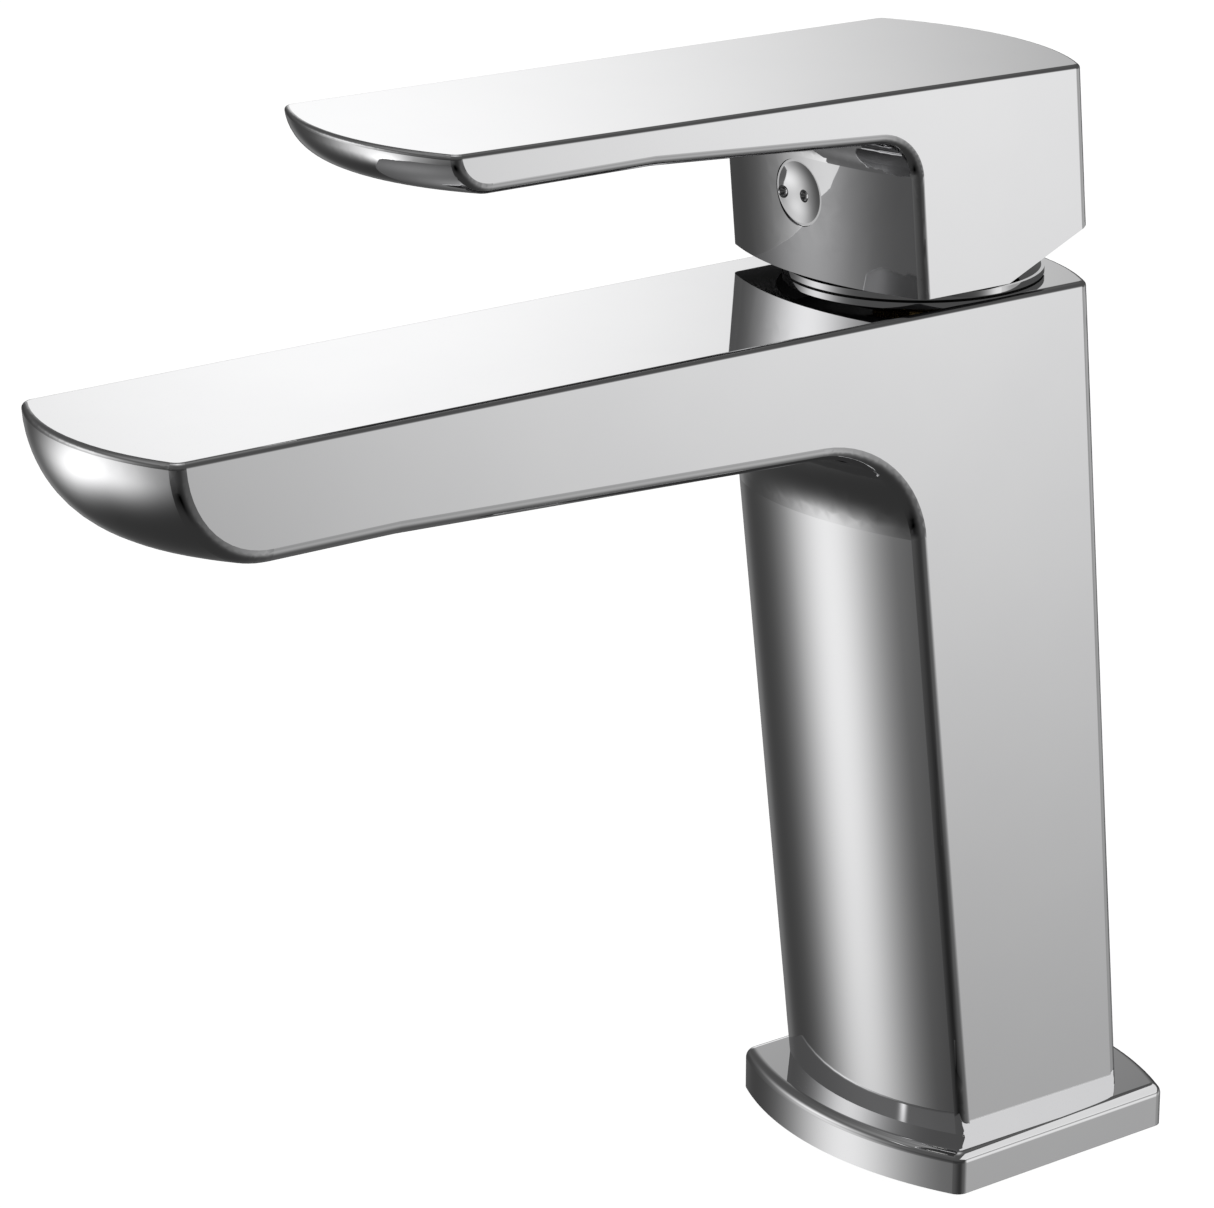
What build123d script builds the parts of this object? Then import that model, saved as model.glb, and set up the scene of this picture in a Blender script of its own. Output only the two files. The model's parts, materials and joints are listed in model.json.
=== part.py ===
from build123d import *
import math
import os

# Single-lever bathroom basin mixer: base plate, leaning column with a long flat spout, ceramic-disc
# cartridge, and a flat lever handle.  Millimetres, +Z up, origin on the deck at the base plate's centre.
# The spout and the lever point to -Y, and X is the width.

# ---- base plate ---------------------------------------------------------------------------------
PLATE_W = 50.0            # base plate width
PLATE_CORNER_Y = 20.4     # half length at the plate's corners
PLATE_BOW = 6.1           # how far the plate's ends bulge past its corners
PLATE_H = 6.5
PLATE_CORNER_R = 2.0
PLATE_EDGE_R = 1.6
GASKET_R_OUT = 20.5
GASKET_R_IN = 16.5
GASKET_H = 1.8
GASKET_GAP = 0.1
SPIGOT_R = 14.6           # body's foot, which passes through the plate to the deck
SPIGOT_GAP = 0.2

# ---- column and spout ---------------------------------------------------------------------------
BODY_TOP = 133.5          # flat top of the spout and column
BODY_HALF_W = 20.3        # half width at the cartridge axis
BODY_TAPER = 0.0118       # half width gained per mm towards the back
BODY_BOW = 5.6            # how far the column's front and back bulge
BACK_FOOT_Y = 15.1        # back corner where the column meets the plate
BACK_LEAN = 0.091         # forward lean of the back, mm per mm of height
FRONT_FOOT_Y = -15.5      # front corner where the column meets the plate
FRONT_LEAN = 0.118
BACK_CORNER_R = 1.8
BODY_CORNER_R = 2.2       # front corners, elbow sides and the spout's lower edges
BODY_EDGE_R = 0.8
TIP_APEX_Y = -152.4       # foremost point of the spout
TIP_R = 38.0              # plan radius of the spout's tip
TIP_ROLL = 12.5           # how far back the tip's rolled-under front reaches
SPOUT_ROOT_Y = -36.0
SPOUT_ROOT_Z = 114.8      # underside height at SPOUT_ROOT_Y
SPOUT_RISE = 0.040        # the underside rises this much per mm towards the tip
ELBOW_R = 16.0            # radius between the spout's underside and the column

# ---- handle -------------------------------------------------------------------------------------
HANDLE_HALF_W = 21.1      # half width at the cartridge axis
HANDLE_TAPER = 0.0175
HANDLE_TOP = 165.3        # top height at the cartridge axis
HANDLE_RISE = 0.013       # the top rises this much per mm towards the tip
LEVER_APEX_Y = -110.9
LEVER_TIP_R = 37.0
LEVER_ROLL = 5.5
LEVER_ROOT_Y = -36.0
LEVER_ROOT_Z = 158.4      # underside height at LEVER_ROOT_Y
LEVER_UNDER_RISE = 0.06
LEVER_ELBOW_R = 6.0
HANDLE_CORNER_R = 1.6
HANDLE_EDGE_R = 0.6
CAP_BOTTOM = 135.7
CAP_FRONT_Y = -27.3       # front corner at the cap's bottom
CAP_FRONT_BOW = 4.6
CAP_BACK_Y = 2.9          # back corner, carried down to the cap's bottom height
CAP_BACK_BOW = 6.0
CAP_LEAN = 0.093
RELIEF_Y = -12.0          # the cap's bottom slopes up from here to the back
RELIEF_DEG = 23.5
CAVITY_R = 19.55
CAVITY_BACK_Y = 6.3       # the cavity stops here to leave the cap's back wall
CAVITY_TOP = 141.0
CAVITY_BACK_TOP = 150.0   # ceiling height at the cavity's back, clear of the ring when lifted
SOCKET_HALF = 5.6
SOCKET_TOP = 153.0
SOCKET_INSERT_BOTTOM = 143.0

# ---- trim ring between the column and the cap ---------------------------------------------------
TRIM_R = 18.7
TRIM_SEAL_R = 18.5
TRIM_BOTTOM = 133.7       # a thin rubber seal fills the gap down to the column's top
TRIM_SHOULDER = 134.6     # top of the ring's upright side
TRIM_DOME_R = 18.2
TRIM_DOME_SPHERE = 44.4
TRIM_HOLE_R = 11.0
TRIM_SPIGOT_R = 15.25
TRIM_SPIGOT_BOTTOM = 131.6
TRIM_SPIGOT_BORE_R = 13.7

# ---- cartridge and its chamber ------------------------------------------------------------------
AXIS_Y = -11.3            # the cartridge's vertical axis
PIVOT_Z = 125.0           # height of the lever's pivot pin
CHAMBER_FLOOR = 104.0
CHAMBER_R = 14.1
NUT_BORE_R = 15.35
NUT_BORE_FLOOR = 119.4
CARTRIDGE_FLOOR = 104.5   # underside of the cartridge's base
FIXED_DISC_Z = 109.0
MOVING_DISC_Z = 112.0     # the plane where the two discs slide on each other
CARRIER_Z = 114.7
HOUSING_FLANGE_Z = 119.5
HOUSING_FLANGE_R = 15.2
HOUSING_NECK_Z = 121.5    # top of the flange, which the retaining nut presses on
HOUSING_NECK_R = 13.1
HOUSING_TOP = 129.5
NUT_TOP = 131.2
ROTOR_R = 10.5
ROTOR_FLANGE_R = 11.45
ROTOR_BOTTOM = 118.6
ROTOR_NECK_Z = 121.0
ROTOR_TOP = 131.5
ROTOR_GUIDE_X = (8.2, 9.6)
ROTOR_SLOT = (4.1, 8.0)   # half sizes of the lever's slot across and along
PIN_R = 1.5
PIN_HALF = 10.3
PIN_GAP = 0.05
STEM_HALF = 4.0
STEM_BOTTOM = 121.5
STEM_TOP = 152.5
BALL_R = 1.6
BALL_ARM = 8.0            # pivot to the lever's lower ball
LIFT_DEG = 22.0           # how far the lever lifts
DISC_TRAVEL = BALL_ARM * math.radians(LIFT_DEG)   # the moving disc's slide between shut and open
SLIDER_Y = AXIS_Y + DISC_TRAVEL / 2               # the moving disc's centre when shut
PORT_X = 5.6              # inlet ports of the cartridge, each side of the axis
PORT_DY = 3.4             # and behind it
OUTLET_DY = -6.4
PORT_R = 2.2
PORT_SEAL_TOP = 105.5
PORT_SEAL_R = 3.9
OUTLET_R = 2.6
WINDOW_HALF = 4.0         # half width of the outlet channel and its window
SEAL_R = (7.6, 6.4)       # outside and inside of the moving disc's seal
SEAL_Z = 114.2
LIMITER_TOP = 131.0
LIMITER_TEETH = 20

# ---- waterways ----------------------------------------------------------------------------------
INLET_X = 8.6
INLET_Y = -3.4
INLET_R = 4.45            # M10 x 1 thread, minor radius
INLET_DEPTH = 12.0
STUD_Y = 9.6
STUD_R = 3.4              # M8 thread, minor radius
STUD_DEPTH = 14.0
WATERWAY_R = 2.6
OUTLET_START = (0, -21.0, 113.5)   # where the mixed water leaves the chamber's front wall
OUTLET_WAY_R = 3.2
OUTLET_BEND_Y = -54.0
SPOUT_WAY_R = 2.8
SPOUT_WAY_Z = 127.4
AERATOR_Y = -116.0
AERATOR_BORE_R = 11.5     # M24 x 1 thread
AERATOR_BOTTOM = 117.6
AERATOR_SHOULDER = 125.0
AERATOR_WELL_R = 9.0
AERATOR_WELL_TOP = 130.2
AERATOR_BORE_BOTTOM = AERATOR_BOTTOM - 2   # cutter start, below the spout's underside
AERATOR_THREAD_GAP = 0.06
SLEEVE_BORE_R = 9.6       # inside of the aerator's housing
LIP_H = 1.2               # the housing's lip, which holds the insert
JET_FIELD_R = 8.6         # circle that the jets and the screen's holes fill
JET_PITCH = 2.7
JET_R = 1.05
MESH_PITCH = 1.9
MESH_R = 0.6
JET_DISC_R = 9.5
JET_DISC_TOP = 123.8
SCREEN_TOP = 124.3
SLEEVE_TOP = 124.5        # top of the aerator's housing, under its washer

# ---- index button -------------------------------------------------------------------------------
BUTTON_Z = 147.7
BUTTON_R = 4.8
BUTTON_INSET = 0.3        # how far the button's rim sits behind the cap's foremost line
BUTTON_DEPTH = 2.6        # from the button's rim to the floor of its recess
BUTTON_LAND = 0.35        # width of the flat rim round the dish
BUTTON_DISH = 0.6
BUTTON_GAP = 0.06
DIMPLE_R = 0.95
DIMPLE_SINK = 0.7         # depth of each dimple below the dish
DIMPLE_SPOTS = ((0.3, -0.6), (-3.7, -0.6))   # across and up from the button's centre
SCREW_R = 2.0
SCREW_GAP = 0.02
SCREW_HEAD_Y = -26.5

os.makedirs("parts", exist_ok=True)


# ---- helpers ------------------------------------------------------------------------------------
def cyl(radius, z0, z1, x=0.0, y=AXIS_Y):
    """Upright cylinder from z0 to z1, on the cartridge axis unless told otherwise."""
    return Pos(x, y, (z0 + z1) / 2) * Cylinder(radius, z1 - z0)


def ring(r_out, r_in, z0, z1, x=0.0, y=AXIS_Y):
    """Upright ring."""
    return cyl(r_out, z0, z1, x, y) - cyl(r_in, z0 - 1, z1 + 1, x, y)


def block(x0, x1, y0, y1, z0, z1):
    """Box between two corners."""
    centre = Pos((x0 + x1) / 2, (y0 + y1) / 2, (z0 + z1) / 2)
    return centre * Box(x1 - x0, y1 - y0, z1 - z0)


def rod(start, end, radius):
    """Straight round rod between two points."""
    a = Vector(*start)
    b = Vector(*end)
    return extrude(Plane(a, z_dir=b - a) * Circle(radius), (b - a).length)


def bow_radius(half_width, bow):
    """Radius of an arc that bulges by bow over a chord of twice half_width."""
    return (half_width**2 + bow**2) / (2 * bow)


def leaning_cylinder(apex_y, radius, side, z0, z1, lean):
    """Cylinder leaning forward; its front (side -1) or back (side +1) line passes apex_y at z0."""
    disc = Pos(0, apex_y - side * radius, z0) * Circle(radius)
    return extrude(disc, (z1 - z0) * math.hypot(1, lean), dir=(0, -lean, 1))


def taper_prism(half_w, taper, y0, y1, z0, z1):
    """Upright prism, half_w wide each side at the axis, whose sides open towards the back."""
    w0 = half_w + taper * (y0 - AXIS_Y)
    w1 = half_w + taper * (y1 - AXIS_Y)
    outline = Polyline((-w0, y0), (w0, y0), (w1, y1), (-w1, y1), close=True)
    return extrude(Pos(0, 0, z0) * make_face(outline), z1 - z0)


def side_prism(points, half_width=40.0):
    """Solid with the given side outline of (y, z) points, centred on X = 0."""
    outline = Polyline(*[(0, y, z) for y, z in points], close=True)
    return extrude(make_face(outline), half_width, dir=(1, 0, 0), both=True)


def turned_tip(radius, roll, thick, height, centre_y, under_z):
    """Round front end: a side outline that rolls under as an ellipse, turned about an upright axis."""
    side = Plane(origin=(0, 0, 0), x_dir=(0, -1, 0), z_dir=(-1, 0, 0))
    flat_r = radius - roll
    rolled = EllipticalCenterArc((flat_r, thick), roll, thick, 270, arc_size=90)
    outline = [Line((0, 0), (flat_r, 0)), rolled]
    outline.append(Polyline((radius, thick), (radius, height), (0, height), (0, 0)))
    turned = revolve(side * make_face(outline), Axis.Z)
    return Pos(0, centre_y, under_z) * turned


def edges_where(shape, test):
    """Edges whose bounding box passes the test."""
    return [edge for edge in shape.edges() if test(edge.bounding_box())]


def narrow(box):
    """True for an edge that stays on one side of the object, along its corner or lower edge."""
    return box.max.X - box.min.X < 2.5


# ---- base ---------------------------------------------------------------------------------------
def base_plate():
    half = PLATE_W / 2
    radius = bow_radius(half, PLATE_BOW)
    ends = PLATE_CORNER_Y + PLATE_BOW
    front = cyl(radius, 0, PLATE_H, 0, radius - ends)
    back = cyl(radius, 0, PLATE_H, 0, ends - radius)
    plate = front & back & block(-half, half, -ends, ends, 0, PLATE_H)
    plate = fillet(plate.edges().filter_by(Axis.Z), PLATE_CORNER_R)
    plate = fillet(plate.faces().sort_by(Axis.Z)[-1].edges(), PLATE_EDGE_R)
    plate -= cyl(SPIGOT_R + SPIGOT_GAP, -1, PLATE_H + 1, 0, 0)
    groove = ring(GASKET_R_OUT + GASKET_GAP, GASKET_R_IN - GASKET_GAP, -1, GASKET_H, 0, 0)
    return plate - groove


def base_gasket():
    return ring(GASKET_R_OUT, GASKET_R_IN, 0, GASKET_H, 0, 0)


# ---- body ---------------------------------------------------------------------------------------
def spout_under(y):
    """Height of the spout's underside."""
    return SPOUT_ROOT_Z + SPOUT_RISE * (SPOUT_ROOT_Y - y)


def body_shell():
    """Column and spout as one outside shape, with its rounded edges."""
    wide = taper_prism(BODY_HALF_W, BODY_TAPER, -170, 40, 0, BODY_TOP)
    radius = bow_radius(BODY_HALF_W, BODY_BOW)
    front = leaning_cylinder(FRONT_FOOT_Y - BODY_BOW, radius, -1, PLATE_H, BODY_TOP, FRONT_LEAN)
    back = leaning_cylinder(BACK_FOOT_Y + BODY_BOW, radius, 1, PLATE_H, BODY_TOP, BACK_LEAN)
    tip_y = TIP_APEX_Y + TIP_R
    tip_z = spout_under(tip_y)
    thick = BODY_TOP - tip_z
    arm = side_prism([(tip_y, tip_z), (AXIS_Y, spout_under(AXIS_Y)), (AXIS_Y, BODY_TOP), (tip_y, BODY_TOP)])
    tip = turned_tip(TIP_R, TIP_ROLL, thick, 30, tip_y, tip_z)
    shell = (front & back & wide) + (arm & wide) + (tip & wide)
    elbow = edges_where(shell, lambda b: b.max.X - b.min.X > 30 and b.min.Z > 110 and b.max.Z < 118)
    shell = fillet(elbow, ELBOW_R)
    sides = edges_where(shell, lambda b: narrow(b) and b.min.Z < 133 and b.max.Z > 7 and b.min.Y < -14)
    shell = fillet(sides, BODY_CORNER_R)
    backs = edges_where(shell, lambda b: narrow(b) and b.min.Y > 0 and b.max.Z - b.min.Z > 100)
    shell = fillet(backs, BACK_CORNER_R)
    return fillet(shell.faces().sort_by(Axis.Z)[-1].edges(), BODY_EDGE_R)


def faucet_body():
    body = body_shell() + cyl(SPIGOT_R, 0, PLATE_H + 1, 0, 0)
    body -= cyl(CHAMBER_R, CHAMBER_FLOOR, BODY_TOP + 1)
    body -= cyl(NUT_BORE_R, NUT_BORE_FLOOR, BODY_TOP + 1)
    body -= cyl(STUD_R, -1, STUD_DEPTH, 0, STUD_Y)
    for side in (-1, 1):
        body -= cyl(INLET_R, -1, INLET_DEPTH, side * INLET_X, INLET_Y)
        start = (side * INLET_X, INLET_Y, INLET_DEPTH - 1)
        body -= rod(start, (side * PORT_X, AXIS_Y + PORT_DY, CHAMBER_FLOOR + 0.5), WATERWAY_R)
    body -= rod(OUTLET_START, (0, OUTLET_BEND_Y, SPOUT_WAY_Z), OUTLET_WAY_R)
    body -= rod((0, OUTLET_BEND_Y + 2, SPOUT_WAY_Z), (0, AERATOR_Y, SPOUT_WAY_Z), SPOUT_WAY_R)
    body -= cyl(AERATOR_BORE_R, AERATOR_BORE_BOTTOM, AERATOR_SHOULDER, 0, AERATOR_Y)
    return body - cyl(AERATOR_WELL_R, AERATOR_SHOULDER - 1, AERATOR_WELL_TOP, 0, AERATOR_Y)


# ---- aerator ------------------------------------------------------------------------------------
def hole_grid(radius, pitch, hole_r, z0, z1):
    """Upright holes on a square grid inside a circle about the aerator's axis."""
    steps = int(radius // pitch)
    grid = range(-steps, steps + 1)
    spots = [(i * pitch, j * pitch) for i in grid for j in grid]
    inside = [(x, y) for x, y in spots if math.hypot(x, y) + hole_r < radius]
    return [cyl(hole_r, z0, z1, x, AERATOR_Y + y) for x, y in inside]


def aerator_housing():
    """Threaded sleeve with a lip at its lower end that holds the insert."""
    outside = AERATOR_BORE_R - AERATOR_THREAD_GAP
    housing = ring(outside, SLEEVE_BORE_R, AERATOR_BOTTOM, SLEEVE_TOP, 0, AERATOR_Y)
    lip_top = AERATOR_BOTTOM + LIP_H
    return housing + ring(SLEEVE_BORE_R + 0.2, JET_FIELD_R, AERATOR_BOTTOM, lip_top, 0, AERATOR_Y)


def aerator_insert():
    insert = cyl(JET_DISC_R, AERATOR_BOTTOM + LIP_H + 0.1, JET_DISC_TOP, 0, AERATOR_Y)
    return insert - hole_grid(JET_FIELD_R, JET_PITCH, JET_R, AERATOR_BOTTOM, SLEEVE_TOP)


def aerator_screen():
    screen = cyl(JET_DISC_R, JET_DISC_TOP + 0.1, SCREEN_TOP, 0, AERATOR_Y)
    return screen - hole_grid(JET_FIELD_R, MESH_PITCH, MESH_R, JET_DISC_TOP, SLEEVE_TOP)


def aerator_washer():
    return ring(11.2, AERATOR_WELL_R + 0.05, SLEEVE_TOP, AERATOR_SHOULDER, 0, AERATOR_Y)


# ---- cartridge, fixed pieces --------------------------------------------------------------------
def inlet_spots():
    return [(side * PORT_X, AXIS_Y + PORT_DY) for side in (-1, 1)]


def port_seals():
    """Two rubber rings between the cartridge and the chamber floor."""
    rings = [ring(PORT_SEAL_R, 2.7, CHAMBER_FLOOR, PORT_SEAL_TOP, x, y) for x, y in inlet_spots()]
    return Compound(children=[seal.solid() for seal in rings])


def cartridge_base():
    """Plastic foot with a port and a seal pocket for each inlet, and a channel to the outlet."""
    base = cyl(13.4, CARTRIDGE_FLOOR, FIXED_DISC_Z)
    for x, y in inlet_spots():
        base -= cyl(PORT_R, CARTRIDGE_FLOOR - 1, FIXED_DISC_Z + 1, x, y)
        base -= cyl(PORT_SEAL_R + 0.1, CARTRIDGE_FLOOR - 1, PORT_SEAL_TOP, x, y)
    channel = block(-WINDOW_HALF, WINDOW_HALF, AXIS_Y - 14, AXIS_Y - 4.4, 106.5, FIXED_DISC_Z + 1)
    return base - channel


def fixed_disc():
    disc = cyl(11.6, FIXED_DISC_Z, MOVING_DISC_Z)
    for x, y in inlet_spots():
        disc -= cyl(PORT_R, FIXED_DISC_Z - 1, MOVING_DISC_Z + 1, x, y)
    return disc - cyl(OUTLET_R, FIXED_DISC_Z - 1, MOVING_DISC_Z + 1, 0, AXIS_Y + OUTLET_DY)


def cartridge_housing():
    """Stepped sleeve round the discs and the rotor, with a window for the mixed water."""
    housing = cyl(13.9, FIXED_DISC_Z + 0.05, HOUSING_FLANGE_Z)
    housing += cyl(HOUSING_FLANGE_R, HOUSING_FLANGE_Z, HOUSING_NECK_Z)
    housing += cyl(HOUSING_NECK_R, HOUSING_NECK_Z, HOUSING_TOP)
    housing -= cyl(12.2, FIXED_DISC_Z - 1, 118.4)
    housing -= cyl(11.8, 118, 121.2)
    housing -= cyl(ROTOR_R + 0.08, 121, HOUSING_TOP + 1)
    window = block(-WINDOW_HALF, WINDOW_HALF, AXIS_Y - 16, AXIS_Y - 10, FIXED_DISC_Z, 117.5)
    return housing - window


def retaining_nut():
    """Threaded ring over the cartridge, with four wrench notches in its top."""
    nut = ring(NUT_BORE_R - 0.05, HOUSING_NECK_R + 0.2, HOUSING_NECK_Z, NUT_TOP)
    notch = block(11, 16, -1.5, 1.5, NUT_TOP - 1.8, NUT_TOP + 1)
    for turn in range(4):
        nut -= Pos(0, AXIS_Y, 0) * Rot(0, 0, 45 + 90 * turn) * notch
    return nut


def temperature_limiter():
    """Toothed ring that sets how far the handle turns to hot."""
    limiter = ring(12.9, 10.8, HOUSING_TOP, LIMITER_TOP)
    gap = block(10.7, 11.3, -0.7, 0.7, HOUSING_TOP - 1, LIMITER_TOP + 1)
    teeth = range(LIMITER_TEETH)
    return limiter - [Pos(0, AXIS_Y, 0) * Rot(0, 0, 360 / LIMITER_TEETH * tooth) * gap for tooth in teeth]


# ---- trim ring ----------------------------------------------------------------------------------
def trim_ring():
    """Low ring on the body's top whose shallow dome hides the cartridge under the cap."""
    sphere_z = TRIM_SHOULDER - math.sqrt(TRIM_DOME_SPHERE**2 - TRIM_DOME_R**2)
    sphere = Pos(0, AXIS_Y, sphere_z) * Sphere(TRIM_DOME_SPHERE)
    dome = cyl(TRIM_DOME_R, TRIM_BOTTOM + 0.1, TRIM_SHOULDER + 7) & sphere
    trim = cyl(TRIM_R, TRIM_BOTTOM, TRIM_SHOULDER) + dome
    trim += cyl(TRIM_SPIGOT_R, TRIM_SPIGOT_BOTTOM, TRIM_BOTTOM + 0.2)
    trim -= cyl(TRIM_SPIGOT_BORE_R, TRIM_SPIGOT_BOTTOM - 1, TRIM_SHOULDER + 0.7)
    return trim - cyl(TRIM_HOLE_R, TRIM_SPIGOT_BOTTOM - 1, TRIM_SHOULDER + 10)


def trim_ring_seal():
    return ring(TRIM_SEAL_R, NUT_BORE_R + 0.15, BODY_TOP, TRIM_BOTTOM)


# ---- cartridge, moving pieces -------------------------------------------------------------------
def rotor():
    """Carrier that turns with the handle, with the lever's slot and two guides for the disc."""
    turn = cyl(ROTOR_FLANGE_R, ROTOR_BOTTOM, ROTOR_NECK_Z) + cyl(ROTOR_R, ROTOR_NECK_Z, ROTOR_TOP)
    guide_in, guide_out = ROTOR_GUIDE_X
    for x0, x1 in ((-guide_out, -guide_in), (guide_in, guide_out)):
        turn += block(x0, x1, AXIS_Y - 5, AXIS_Y + 5, 116.7, ROTOR_BOTTOM + 0.4)
    across, along = ROTOR_SLOT
    turn -= block(-across, across, AXIS_Y - along, AXIS_Y + along, 115, ROTOR_TOP + 0.5)
    return turn - rod((-12, AXIS_Y, PIVOT_Z), (12, AXIS_Y, PIVOT_Z), PIN_R)


def pivot_pin():
    return rod((-PIN_HALF, AXIS_Y, PIVOT_Z), (PIN_HALF, AXIS_Y, PIVOT_Z), PIN_R)


def disc_carrier():
    """Slides under the rotor; the lever's ball sits in its pocket."""
    carrier = cyl(9.8, CARRIER_Z, 116.3, 0, SLIDER_Y)
    carrier += block(-7.8, 7.8, SLIDER_Y - 5.5, SLIDER_Y + 5.5, 116.0, 118.2)
    pocket = BALL_R + 0.6
    return carrier - block(-pocket, pocket, AXIS_Y - pocket, AXIS_Y + pocket, CARRIER_Z + 0.4, 119)


def disc_seal():
    outside, inside = SEAL_R
    return ring(outside, inside, SEAL_Z, CARRIER_Z, 0, SLIDER_Y)


def moving_disc():
    """Ceramic disc whose mixing pocket joins the inlets to the outlet as it slides."""
    outside, inside = SEAL_R
    disc = cyl(9.4, MOVING_DISC_Z, CARRIER_Z, 0, SLIDER_Y)
    disc -= ring(outside + 0.1, inside - 0.1, SEAL_Z, CARRIER_Z + 1, 0, SLIDER_Y)
    return disc - block(-5.5, 5.5, SLIDER_Y - 5.6, SLIDER_Y + 1.0, MOVING_DISC_Z - 1, 113.2)


def lever_stem():
    """Square stem on the pivot pin, with a ball below that pushes the disc carrier."""
    stem = block(-STEM_HALF, STEM_HALF, AXIS_Y - STEM_HALF, AXIS_Y + STEM_HALF, STEM_BOTTOM, STEM_TOP)
    stem = chamfer(stem.faces().sort_by(Axis.Z)[-1].edges(), 0.6)
    ball_z = PIVOT_Z - BALL_ARM
    stem += cyl(1.25, ball_z, STEM_BOTTOM + 0.5)
    stem += Pos(0, AXIS_Y, ball_z) * Sphere(BALL_R)
    return stem - rod((-5, AXIS_Y, PIVOT_Z), (5, AXIS_Y, PIVOT_Z), PIN_R + PIN_GAP)


# ---- handle -------------------------------------------------------------------------------------
def lever_under(y):
    """Height of the lever's underside."""
    return LEVER_ROOT_Z + LEVER_UNDER_RISE * (LEVER_ROOT_Y - y)


def handle_top(y):
    return HANDLE_TOP + HANDLE_RISE * (AXIS_Y - y)


def handle_shell():
    """Lever and cap as one outside shape, with its rounded edges."""
    wide = taper_prism(HANDLE_HALF_W, HANDLE_TAPER, -130, 40, 100, 180)
    below_top = side_prism([(-130, 100), (40, 100), (40, handle_top(40)), (-130, handle_top(-130))])
    front_r = bow_radius(HANDLE_HALF_W, CAP_FRONT_BOW)
    back_r = bow_radius(HANDLE_HALF_W, CAP_BACK_BOW)
    front = leaning_cylinder(CAP_FRONT_Y - CAP_FRONT_BOW, front_r, -1, CAP_BOTTOM, 175, CAP_LEAN)
    back = leaning_cylinder(CAP_BACK_Y + CAP_BACK_BOW, back_r, 1, CAP_BOTTOM, 175, CAP_LEAN)
    tip_y = LEVER_APEX_Y + LEVER_TIP_R
    tip_z = lever_under(tip_y)
    thick = handle_top(LEVER_APEX_Y) - tip_z
    arm = side_prism([(tip_y, tip_z), (AXIS_Y, lever_under(AXIS_Y)), (AXIS_Y, 172), (tip_y, 172)])
    tip = turned_tip(LEVER_TIP_R, LEVER_ROLL, thick, 15, tip_y, tip_z)
    outside = wide & below_top
    shell = (front & back & outside) + (arm & outside) + (tip & outside)
    elbow = edges_where(shell, lambda b: b.max.X - b.min.X > 30 and b.min.Z > 155 and b.max.Z < 161
                        and b.min.Y > -60)
    shell = fillet(elbow, LEVER_ELBOW_R)
    relief_end = RELIEF_Y + 40
    relief_rise = 40 * math.tan(math.radians(RELIEF_DEG))
    shell -= side_prism([(RELIEF_Y, CAP_BOTTOM), (relief_end, CAP_BOTTOM),
                         (relief_end, CAP_BOTTOM + relief_rise)])
    sides = edges_where(shell, lambda b: narrow(b) and b.min.Z < 165 and b.min.Y < -24 and b.max.Z > 136)
    shell = fillet(sides, HANDLE_CORNER_R)
    backs = edges_where(shell, lambda b: narrow(b) and b.min.Y > -2 and b.max.Z - b.min.Z > 15)
    shell = fillet(backs, HANDLE_CORNER_R)
    return fillet(shell.faces().sort_by(Axis.Z)[-1].edges(), HANDLE_EDGE_R)


def cavity():
    """Hollow under the cap, with its ceiling rising to the back."""
    back_y = AXIS_Y + CAVITY_R
    outline = [(AXIS_Y - 25, 120), (back_y + 5, 120), (back_y + 5, CAVITY_BACK_TOP),
               (back_y, CAVITY_BACK_TOP), (AXIS_Y + 3, CAVITY_TOP), (AXIS_Y - 25, CAVITY_TOP)]
    return cyl(CAVITY_R, 120, 160) & side_prism(outline) & block(-30, 30, -50, CAVITY_BACK_Y, 120, 160)


def handle():
    shell = handle_shell() - cavity()
    shell -= block(-SOCKET_HALF, SOCKET_HALF, AXIS_Y - SOCKET_HALF, AXIS_Y + SOCKET_HALF, 130, SOCKET_TOP)
    recess = button_plane(BUTTON_INSET + BUTTON_DEPTH) * Circle(BUTTON_R + BUTTON_GAP)
    return shell - extrude(recess, BUTTON_DEPTH + 5) - screw_hole()


def button_plane(depth):
    """Plane square to the cap's leaning front and depth behind it, centred on the button."""
    front_y = CAP_FRONT_Y - CAP_FRONT_BOW - CAP_LEAN * (BUTTON_Z - CAP_BOTTOM)
    return Plane((0, front_y, BUTTON_Z), x_dir=(1, 0, 0), z_dir=(0, -1, -CAP_LEAN)).offset(-depth)


def screw_hole():
    """Threaded hole for the set screw, from the cap's face to the stem."""
    return rod((0, CAP_FRONT_Y - 15, BUTTON_Z), (0, AXIS_Y, BUTTON_Z), SCREW_R + SCREW_GAP)


def handle_insert():
    """Plastic sleeve between the handle's square socket and the stem."""
    outer = SOCKET_HALF - 0.05
    inner = STEM_HALF + 0.03
    insert = block(-outer, outer, AXIS_Y - outer, AXIS_Y + outer, SOCKET_INSERT_BOTTOM, SOCKET_TOP)
    insert -= block(-inner, inner, AXIS_Y - inner, AXIS_Y + inner, CAVITY_TOP, STEM_TOP + 0.1)
    return insert - screw_hole()


def set_screw():
    screw = rod((0, SCREW_HEAD_Y, BUTTON_Z), (0, AXIS_Y - STEM_HALF, BUTTON_Z), SCREW_R)
    hexagon = Plane((0, SCREW_HEAD_Y - 0.5, BUTTON_Z), z_dir=(0, 1, 0)) * RegularPolygon(1.15, 6)
    return screw - extrude(hexagon, 3.0)


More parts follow.
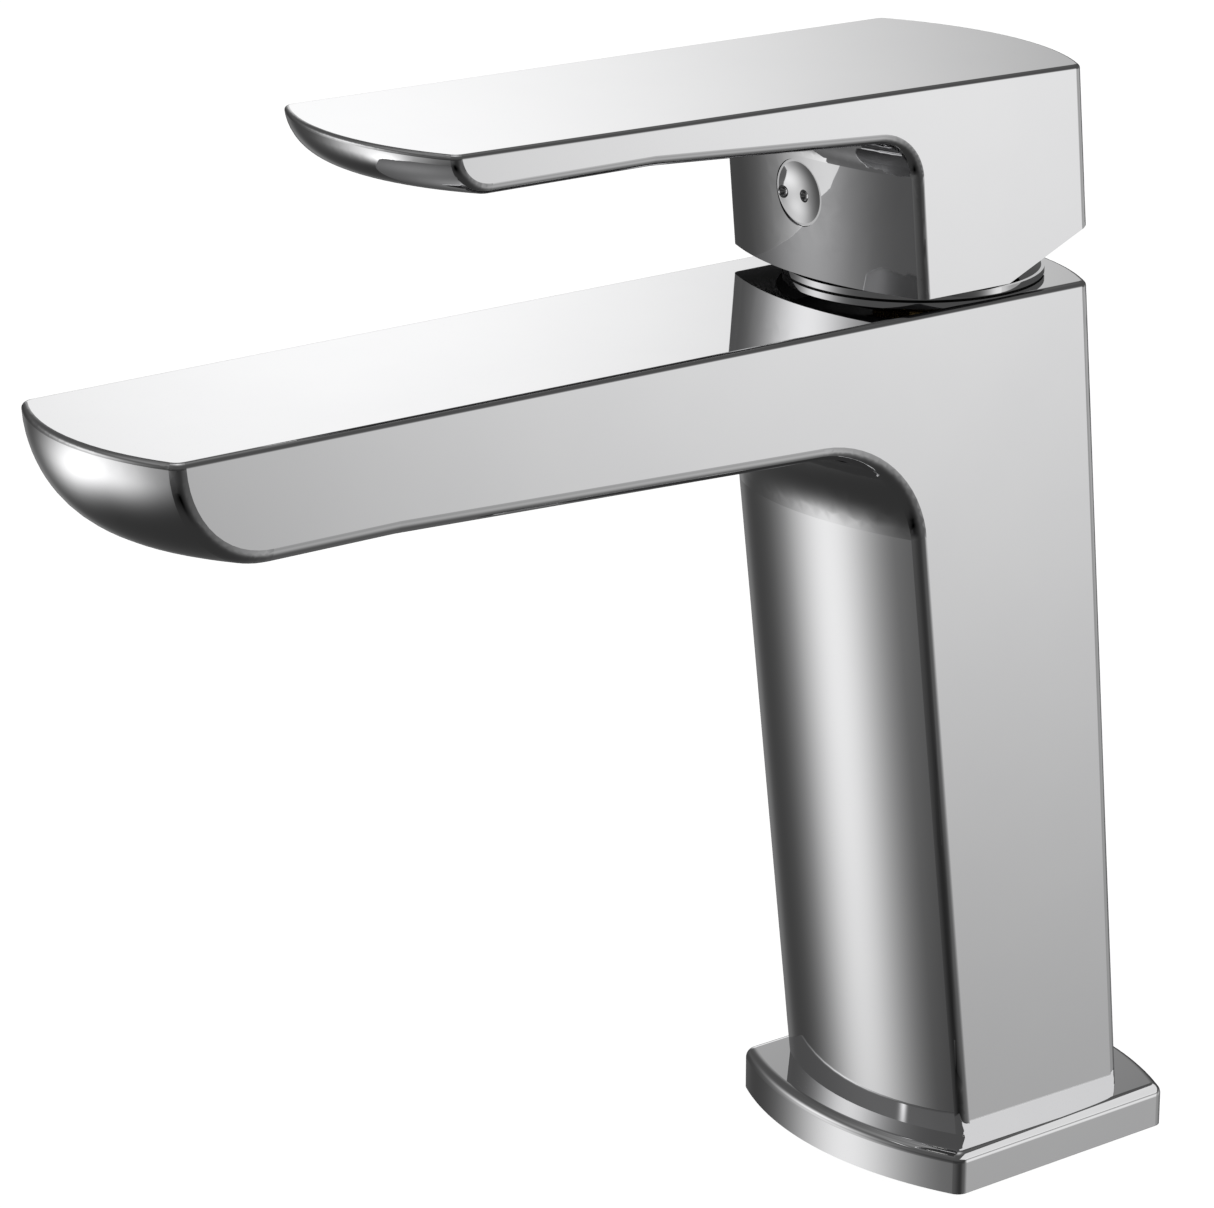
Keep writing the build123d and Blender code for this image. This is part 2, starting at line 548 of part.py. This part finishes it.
def index_button():
    """Round dished cover over the set screw, with two small dimples."""
    button = extrude(button_plane(BUTTON_INSET + BUTTON_DEPTH) * Circle(BUTTON_R), BUTTON_DEPTH)
    dish_r = bow_radius(BUTTON_R - BUTTON_LAND, BUTTON_DISH)
    button -= button_plane(BUTTON_INSET + BUTTON_DISH - dish_r) * Sphere(dish_r)
    for x, y in DIMPLE_SPOTS:
        dish = BUTTON_DISH - (x**2 + y**2) / (2 * dish_r)
        depth = BUTTON_INSET + dish + DIMPLE_SINK - DIMPLE_R
        button -= button_plane(depth) * Pos(x, y, 0) * Sphere(DIMPLE_R)
    return button


# ---- write one STEP for each node ---------------------------------------------------------------
NODES = [base_plate, base_gasket, faucet_body, aerator_housing, aerator_insert, aerator_screen,
         aerator_washer, port_seals, cartridge_base, fixed_disc, cartridge_housing, retaining_nut,
         temperature_limiter, trim_ring, trim_ring_seal, rotor, pivot_pin, disc_carrier, disc_seal,
         moving_disc, lever_stem, handle, handle_insert, set_screw, index_button]

for make in NODES:
    export_step(make(), f"parts/{make.__name__}.step")
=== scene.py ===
import json
import math

import bpy
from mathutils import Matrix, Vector

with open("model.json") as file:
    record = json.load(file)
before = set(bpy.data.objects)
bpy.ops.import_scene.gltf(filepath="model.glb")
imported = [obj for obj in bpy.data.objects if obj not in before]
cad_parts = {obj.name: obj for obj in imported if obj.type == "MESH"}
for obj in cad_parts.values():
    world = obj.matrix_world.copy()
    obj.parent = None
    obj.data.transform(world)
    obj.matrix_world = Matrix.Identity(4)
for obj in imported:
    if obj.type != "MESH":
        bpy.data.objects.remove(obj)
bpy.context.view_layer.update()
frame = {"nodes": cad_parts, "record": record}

# ---- camera ----------------------------------------------------------------------------------
# Azimuths are degrees round from the front (-Y) towards +X, and elevations are above the horizon.
CAMERA_AZIMUTH = 52.36
CAMERA_ELEVATION = 18.38
CAMERA_PLACE = (0.48249, -0.43860, 0.29668)
CAMERA_LENS = 137.4
CAMERA_SENSOR = 36.0
NEAREST_SEEN = 0.01

# ---- studio ----------------------------------------------------------------------------------
FLOOR_SIZE = 6.0
FLOOR_COLOUR = (0.93, 0.93, 0.93, 1)
FLOOR_ROUGHNESS = 0.9
FLOOR_SPECULAR = 0.1
FLOOR_GLOW = 0.90
WHITE = (1, 1, 1, 1)
DARK_BELOW = 0.032            # what the chrome reflects between the lights, below the horizon
DARK_ABOVE = 0.075            # and above it
HORIZON_BAND = (-0.1, 0.3)    # heights (sine of elevation) between which one turns into the other
STUDIO_LIGHTS = [             # azimuth, elevation, half width, half height, brightness
    ("front_low", -36.5, -28, 21.5, 11.5, 0.85),
    ("front_middle", -41, -9, 19, 9, 0.62),
    ("front_level", -45, 10, 20, 11, 0.88),
    ("front_high", -33, 48, 22, 13, 0.15),
    ("overhead", -128, 80, 18, 18, 0.70),
    ("back_left", -124, 13, 10.4, 11.5, 0.98),
    ("right_side", 129, -10, 12, 13, 0.76),
    ("right_floor", 142, -38, 20, 14, 0.38),
    ("back_floor", -168, -40, 40, 20, 0.12),
    ("back_right", 165, -12, 22, 11, 0.38),
    ("left_edge", -112, -21, 9, 9, 0.16),
    ("near_edge", 98, -27, 14, 12, 0.05),
    ("right_front", 20, -26, 30, 8, 0.05),
    ("black_flag", 42, -38, 22, 10, -0.034),
]
TIP_LIGHT_PLACE = (-0.034, -0.171, 0.110)    # a small light beside the spout's tip
TIP_LIGHT_FACES = (-62, -27)                 # seen from the tip, in this direction
TIP_LIGHT_HALF = (0.018, 0.010)              # half width and half height of its glow
TIP_LIGHT_MARGIN = 2.5                       # half size of its card over that of the glow
TIP_LIGHT = 1.0
FOOT_LIGHT_PLACE = (0.188, 0.137, 0.050)     # hangs over the deck, to the right of the base plate
FOOT_LIGHT_SIZE = (0.20, 0.375)
FOOT_LIGHT_TURN = 130                        # turn about the upright, in degrees
FOOT_LIGHT = 2.08                            # watts per square metre of the lamp


def direction(azimuth, elevation):
    """Unit vector that points to an azimuth and an elevation."""
    a = math.radians(azimuth)
    e = math.radians(elevation)
    return Vector((math.sin(a) * math.cos(e), -math.cos(a) * math.cos(e), math.sin(e)))


def make_camera():
    data = bpy.data.cameras.new("camera")
    data.lens = CAMERA_LENS
    data.sensor_width = CAMERA_SENSOR
    data.clip_start = NEAREST_SEEN
    camera = bpy.data.objects.new("camera", data)
    bpy.context.scene.collection.objects.link(camera)
    camera.location = CAMERA_PLACE
    camera.rotation_euler = (math.radians(90 - CAMERA_ELEVATION), 0, math.radians(CAMERA_AZIMUTH))
    bpy.context.scene.camera = camera


class Nodes:
    """Short calls for building a node tree."""

    def __init__(self, owner):
        owner.use_nodes = True
        self.tree = owner.node_tree

    def add(self, kind, **settings):
        node = self.tree.nodes.new("ShaderNode" + kind)
        for name, value in settings.items():
            setattr(node, name, value)
        return node

    def join(self, source, target):
        self.tree.links.new(source, target)

    def maths(self, operation, first, second=0.0, third=0.0):
        """A Math node; each input is a number or another node's output."""
        node = self.add("Math", operation=operation)
        for socket, value in zip(node.inputs, (first, second, third)):
            if isinstance(value, (int, float)):
                socket.default_value = value
            else:
                self.join(value, socket)
        return node.outputs[0]

    def dot(self, vector, constant):
        node = self.add("VectorMath", operation="DOT_PRODUCT")
        self.join(vector, node.inputs[0])
        node.inputs[1].default_value = constant
        return node.outputs["Value"]


def soft_edge(nodes, across, up, half_width, half_height):
    """1 at the middle of a light, falling away smoothly past its half width and half height."""
    wide = nodes.maths("DIVIDE", across, half_width)
    tall = nodes.maths("DIVIDE", up, half_height)
    spread = nodes.maths("MULTIPLY_ADD", wide, wide, nodes.maths("MULTIPLY", tall, tall))
    return nodes.maths("EXPONENT", nodes.maths("MULTIPLY", spread, -1.0))


def softbox(nodes, toward, azimuth, elevation, half_width, half_height, brightness):
    """Brightness of one soft-edged studio light in the direction toward."""
    across = nodes.dot(toward, direction(azimuth + 90, 0))
    up = nodes.dot(toward, direction(azimuth, elevation + 90))
    facing = nodes.dot(toward, direction(azimuth, elevation))
    wide = math.sin(math.radians(half_width))
    tall = math.sin(math.radians(half_height))
    falloff = soft_edge(nodes, across, up, wide, tall)
    in_front = nodes.maths("GREATER_THAN", facing, 0.0)
    return nodes.maths("MULTIPLY", nodes.maths("MULTIPLY", falloff, in_front), brightness)


def make_studio():
    """World of soft-edged lights on dark, with a white backdrop behind the object."""
    world = bpy.data.worlds.new("studio")
    bpy.context.scene.world = world
    nodes = Nodes(world)
    toward = nodes.add("TexCoord").outputs["Generated"]
    height = nodes.dot(toward, (0, 0, 1))
    level = nodes.add("MapRange", interpolation_type="SMOOTHSTEP")
    nodes.join(height, level.inputs["Value"])
    level.inputs["From Min"].default_value, level.inputs["From Max"].default_value = HORIZON_BAND
    level.inputs["To Min"].default_value = DARK_BELOW
    level.inputs["To Max"].default_value = DARK_ABOVE
    total = level.outputs["Result"]
    for _, *shape in STUDIO_LIGHTS:
        total = nodes.maths("ADD", total, softbox(nodes, toward, *shape))
    backdrop = nodes.add("Background")
    backdrop.inputs["Color"].default_value = WHITE
    lights = nodes.tree.nodes["Background"]
    nodes.join(total, lights.inputs["Color"])
    mix = nodes.add("MixShader")
    nodes.join(nodes.add("LightPath").outputs["Is Camera Ray"], mix.inputs["Fac"])
    nodes.join(lights.outputs[0], mix.inputs[1])
    nodes.join(backdrop.outputs[0], mix.inputs[2])
    nodes.join(mix.outputs[0], nodes.tree.nodes["World Output"].inputs["Surface"])


def flat_card(name, half_width, half_height):
    """Stage rectangle in its own XY plane, with a material of its own."""
    mesh = bpy.data.meshes.new(name)
    x, y = half_width, half_height
    mesh.from_pydata([(-x, -y, 0), (x, -y, 0), (x, y, 0), (-x, y, 0)], [], [(0, 1, 2, 3)])
    card = bpy.data.objects.new(name, mesh)
    bpy.context.scene.collection.objects.link(card)
    material = bpy.data.materials.new(name)
    mesh.materials.append(material)
    return card, material


def make_tip_light():
    """Soft-edged glow that only reflections see, and that hides nothing behind it."""
    wide, tall = TIP_LIGHT_HALF
    card, material = flat_card("tip_light", wide * TIP_LIGHT_MARGIN, tall * TIP_LIGHT_MARGIN)
    card.location = TIP_LIGHT_PLACE
    card.rotation_euler = direction(*TIP_LIGHT_FACES).to_track_quat("-Z", "Y").to_euler()
    card.visible_camera = False
    nodes = Nodes(material)
    place = nodes.add("SeparateXYZ")
    nodes.join(nodes.add("TexCoord").outputs["Object"], place.inputs[0])
    falloff = soft_edge(nodes, place.outputs["X"], place.outputs["Y"], wide, tall)
    glow = nodes.add("Emission")
    nodes.join(nodes.maths("MULTIPLY", falloff, TIP_LIGHT), glow.inputs["Strength"])
    both = nodes.add("AddShader")
    nodes.join(nodes.add("BsdfTransparent").outputs[0], both.inputs[0])
    nodes.join(glow.outputs[0], both.inputs[1])
    nodes.join(both.outputs[0], nodes.tree.nodes["Material Output"].inputs["Surface"])


def make_foot_light():
    """Downward glow that only polished faces near the deck can see."""
    data = bpy.data.lights.new("foot_light", "AREA")
    data.shape = "RECTANGLE"
    data.size, data.size_y = FOOT_LIGHT_SIZE
    data.energy = FOOT_LIGHT * data.size * data.size_y
    light = bpy.data.objects.new("foot_light", data)
    bpy.context.scene.collection.objects.link(light)
    light.location = FOOT_LIGHT_PLACE
    light.rotation_euler.z = math.radians(FOOT_LIGHT_TURN)
    light.visible_camera = False
    light.visible_diffuse = False


def make_floor():
    """Pale floor that glows enough to stay even, and that the chrome doesn't mirror."""
    floor, material = flat_card("floor", FLOOR_SIZE / 2, FLOOR_SIZE / 2)
    nodes = Nodes(material)
    shader = nodes.tree.nodes["Principled BSDF"]
    shader.inputs["Base Color"].default_value = FLOOR_COLOUR
    shader.inputs["Roughness"].default_value = FLOOR_ROUGHNESS
    shader.inputs["Specular IOR Level"].default_value = FLOOR_SPECULAR
    shader.inputs["Emission Color"].default_value = WHITE
    shader.inputs["Emission Strength"].default_value = FLOOR_GLOW
    floor.visible_glossy = False


# ---- materials -------------------------------------------------------------------------------
CARTRIDGE_AXIS_Y = -0.0113
HOLLOW_R = 0.0196             # the cap's hollow, about the cartridge's axis
HOLLOW_BACK_Y = 0.0064
HOLLOW_TOP = 0.1502
UNDERSIDE_TOP = 0.1425        # faces below this that look down are the cap's underside
LEVER_UNDER_TOP = 0.1640      # and those from there up to this are the lever's
FACES_DOWN = -0.8             # height of the normal of a face that looks down
FLAT_UNDER = (-0.93, -0.99)   # and of one where the satin and its painted shade begin and where they are full
FINISHES = {                  # dark and light colour, roughness, scale, metallic, bump, coat
    "chrome": ((0.89, 0.89, 0.90), (0.93, 0.93, 0.935), (0.012, 0.035), 60, 1.0, 0, 0),
    "rubber": ((0.012, 0.012, 0.013), (0.03, 0.03, 0.03), (0.55, 0.8), 300, 0, 4e-5, 0),
    "steel": ((0.50, 0.50, 0.51), (0.64, 0.64, 0.65), (0.22, 0.38), 500, 1.0, 1e-5, 0),
    "brass": ((0.62, 0.42, 0.16), (0.78, 0.58, 0.27), (0.18, 0.34), 350, 1.0, 1e-5, 0),
    "plastic_grey": ((0.17, 0.18, 0.19), (0.23, 0.24, 0.25), (0.4, 0.55), 400, 0, 2e-5, 0),
    "plastic_white": ((0.72, 0.72, 0.70), (0.80, 0.80, 0.78), (0.35, 0.5), 400, 0, 2e-5, 0),
    "plastic_red": ((0.36, 0.02, 0.015), (0.48, 0.035, 0.025), (0.35, 0.5), 400, 0, 2e-5, 0),
    "ceramic": ((0.76, 0.74, 0.69), (0.86, 0.84, 0.80), (0.08, 0.2), 250, 0, 0, 0.4),
}
ROUGHNESS_SCALE = 2.3         # features of the roughness over those of the colour
RELIEF_SCALE = 9              # and features of the relief
NOISE_DETAIL = 4.0
# Painted shade: a black, rough, non-metal colour under and inside the cap, where only shade
# falls.
PAINTED_SHADE_UNDER_CAP = (("Base Color", (0.008, 0.008, 0.009, 1)), ("Roughness", 0.6), ("Metallic", 0.0))
# Satin roughness, with a darker colour that paints shade under the lever.
SATIN_AND_PAINTED_SHADE = (("Base Color", (0.36, 0.36, 0.365, 1)), ("Roughness", 0.42))


def noise(nodes, scale):
    """Noise over the object's own coordinates, at scale features per metre."""
    texture = nodes.add("TexNoise")
    nodes.join(nodes.add("TexCoord").outputs["Object"], texture.inputs["Vector"])
    texture.inputs["Scale"].default_value = scale
    texture.inputs["Detail"].default_value = NOISE_DETAIL
    return texture.outputs["Fac"]


def between(nodes, value, low, high):
    """Value from 0 to 1 carried to low to high."""
    spread = nodes.add("MapRange")
    nodes.join(value, spread.inputs["Value"])
    spread.inputs["To Min"].default_value = low
    spread.inputs["To Max"].default_value = high
    return spread.outputs["Result"]


def tinted(nodes, value, dark, light):
    """Colour between dark and light."""
    ramp = nodes.add("ValToRGB")
    ramp.color_ramp.elements[0].color = (*dark, 1)
    ramp.color_ramp.elements[1].color = (*light, 1)
    nodes.join(value, ramp.inputs["Fac"])
    return ramp.outputs["Color"]


def surface(name, dark, light, rough, scale, metallic, bump, coat):
    """Material with mottled colour, varied roughness and fine relief, bump metres deep."""
    material = bpy.data.materials.new(name)
    nodes = Nodes(material)
    shader = nodes.tree.nodes["Principled BSDF"]
    mottle = noise(nodes, scale)
    nodes.join(tinted(nodes, mottle, dark, light), shader.inputs["Base Color"])
    wear = noise(nodes, scale * ROUGHNESS_SCALE)
    nodes.join(between(nodes, wear, *rough), shader.inputs["Roughness"])
    shader.inputs["Metallic"].default_value = metallic
    shader.inputs["Coat Weight"].default_value = coat
    if bump:
        relief = nodes.add("Bump")
        relief.inputs["Distance"].default_value = bump
        nodes.join(noise(nodes, scale * RELIEF_SCALE), relief.inputs["Height"])
        nodes.join(relief.outputs[0], shader.inputs["Normal"])
    return material


def overlay(nodes, shader, mask, finish):
    """Changes the shader's inputs to those of another finish where the mask is 1."""
    for name, value in finish:
        socket = shader.inputs[name]
        mix = nodes.add("Mix", data_type="RGBA" if name == "Base Color" else "FLOAT")
        factor, first, second = [s for s in mix.inputs if s.enabled]
        nodes.join(mask, factor)
        if socket.links:
            nodes.join(socket.links[0].from_socket, first)
        else:
            first.default_value = socket.default_value
        second.default_value = value
        nodes.join([s for s in mix.outputs if s.enabled][0], socket)


def handle_chrome():
    """Chrome outside; under the lever, satin roughness with a darker colour of painted shade;
    under and inside the cap, black painted shade.
    """
    material = surface("handle_chrome", *FINISHES["chrome"])
    nodes = Nodes(material)
    shader = nodes.tree.nodes["Principled BSDF"]
    coordinates = nodes.add("TexCoord")
    place = nodes.add("SeparateXYZ")
    nodes.join(coordinates.outputs["Object"], place.inputs[0])
    facing = nodes.add("SeparateXYZ")
    nodes.join(coordinates.outputs["Normal"], facing.inputs[0])
    x, y, z = place.outputs
    behind_axis = nodes.maths("SUBTRACT", y, CARTRIDGE_AXIS_Y)
    reach = nodes.maths("MULTIPLY_ADD", x, x, nodes.maths("MULTIPLY", behind_axis, behind_axis))
    in_hollow = nodes.maths("LESS_THAN", reach, HOLLOW_R**2)
    in_hollow = nodes.maths("MULTIPLY", in_hollow, nodes.maths("LESS_THAN", y, HOLLOW_BACK_Y))
    in_hollow = nodes.maths("MULTIPLY", in_hollow, nodes.maths("LESS_THAN", z, HOLLOW_TOP))
    looks_down = nodes.maths("LESS_THAN", facing.outputs["Z"], FACES_DOWN)
    under_cap = nodes.maths("MULTIPLY", looks_down, nodes.maths("LESS_THAN", z, UNDERSIDE_TOP))
    flat = nodes.add("MapRange")
    nodes.join(facing.outputs["Z"], flat.inputs["Value"])
    flat.inputs["From Min"].default_value, flat.inputs["From Max"].default_value = FLAT_UNDER
    under_lever = nodes.maths("LESS_THAN", z, LEVER_UNDER_TOP)
    under_lever = nodes.maths("MULTIPLY", under_lever, flat.outputs["Result"])
    # Under the lever: satin roughness, and a darker colour of painted shade.
    overlay(nodes, shader, under_lever, SATIN_AND_PAINTED_SHADE)
    # Under and inside the cap the colour turns black: painted shade.
    overlay(nodes, shader, nodes.maths("MAXIMUM", in_hollow, under_cap), PAINTED_SHADE_UNDER_CAP)
    return material


def make_materials():
    """One material for each slot of the record."""
    return {slot: surface(slot, *finish) for slot, finish in FINISHES.items()}


def dress_cad_nodes():
    """Gives every CAD node the finish of its slot in the record."""
    materials = make_materials()
    slots = {part["node"]: part["material_slot"] for part in frame["record"]["subparts"]}
    for name, node in frame["nodes"].items():
        node.data.materials.clear()
        node.data.materials.append(materials[slots[name]])
    frame["nodes"]["handle"].data.materials[0] = handle_chrome()


bpy.context.scene.view_settings.view_transform = "Standard"
make_camera()
make_studio()
make_floor()
make_tip_light()
make_foot_light()
dress_cad_nodes()
